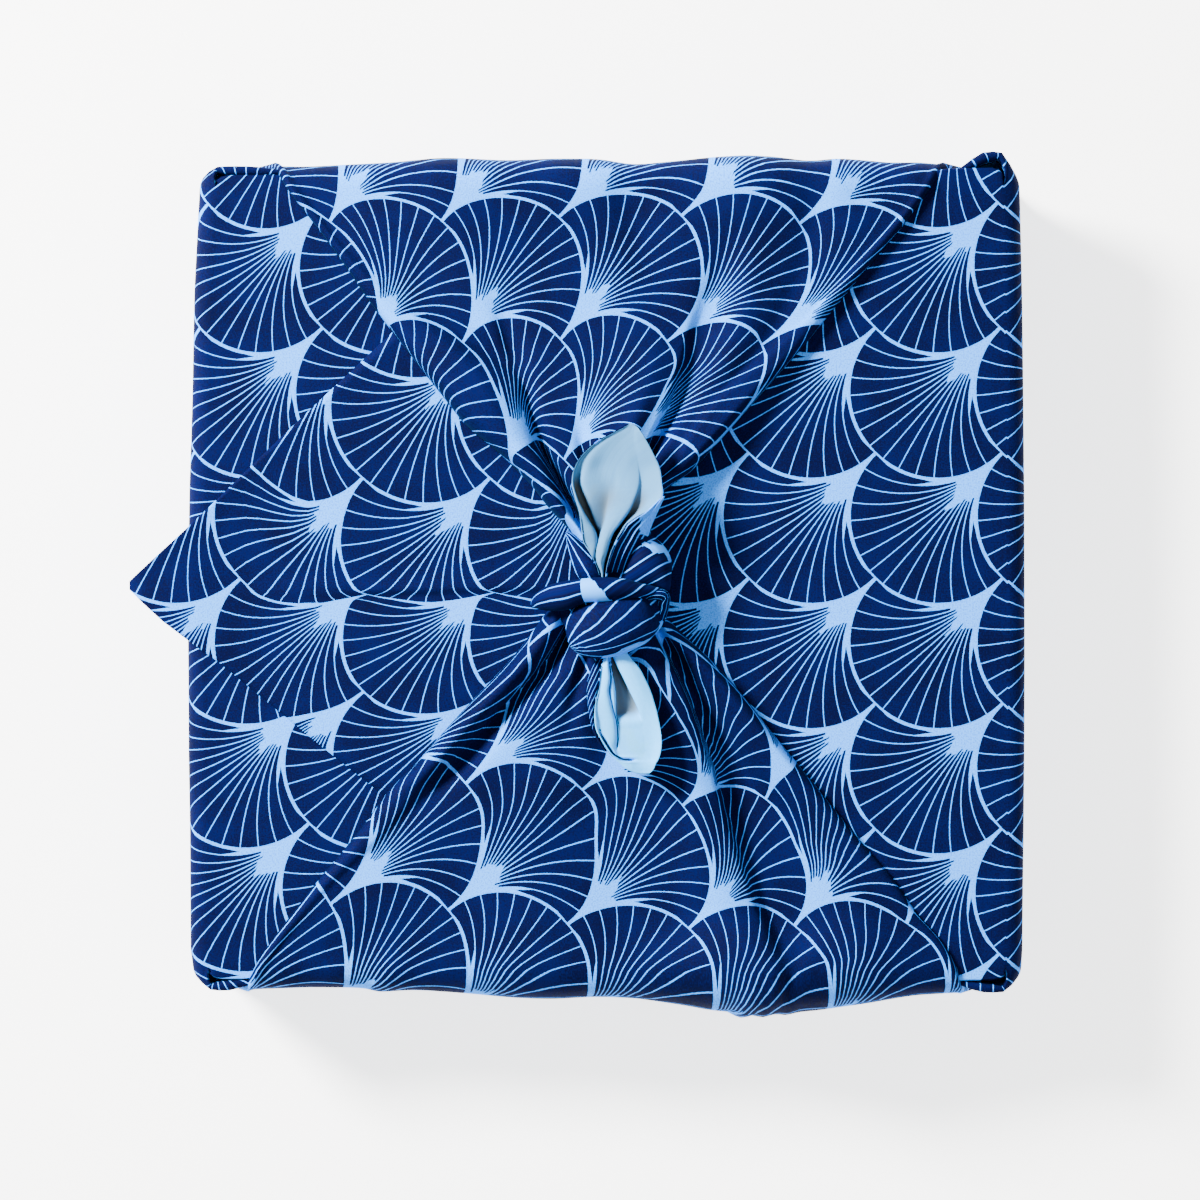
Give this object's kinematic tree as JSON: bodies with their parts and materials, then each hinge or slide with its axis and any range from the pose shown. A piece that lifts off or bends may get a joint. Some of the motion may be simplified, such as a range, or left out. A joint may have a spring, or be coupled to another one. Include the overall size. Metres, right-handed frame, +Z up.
{
  "type": "furoshiki wrapping cloth tied over a flat gift box",
  "caption": "Square printed cloth folded round a flat square box and knotted on top, with gathered folds, corner pockets and two short tails.",
  "frame": {"origin": "middle of the flat underside that the parcel rests on", "axes": "+Z up; +X to the right, away from the side that the tip hangs over; +Y to the far tied corner"},
  "size_m": [0.3055, 0.2909, 0.0766],
  "materials": {
    "printed_cloth": "matt woven cotton, dark blue with a pale blue fan print, pale blue reverse",
    "plain_card": "plain matt card"
  },
  "bodies": {
    "root": {"wrap_cloth": "printed_cloth", "gift_box": "plain_card"}
  },
  "joints": []
}
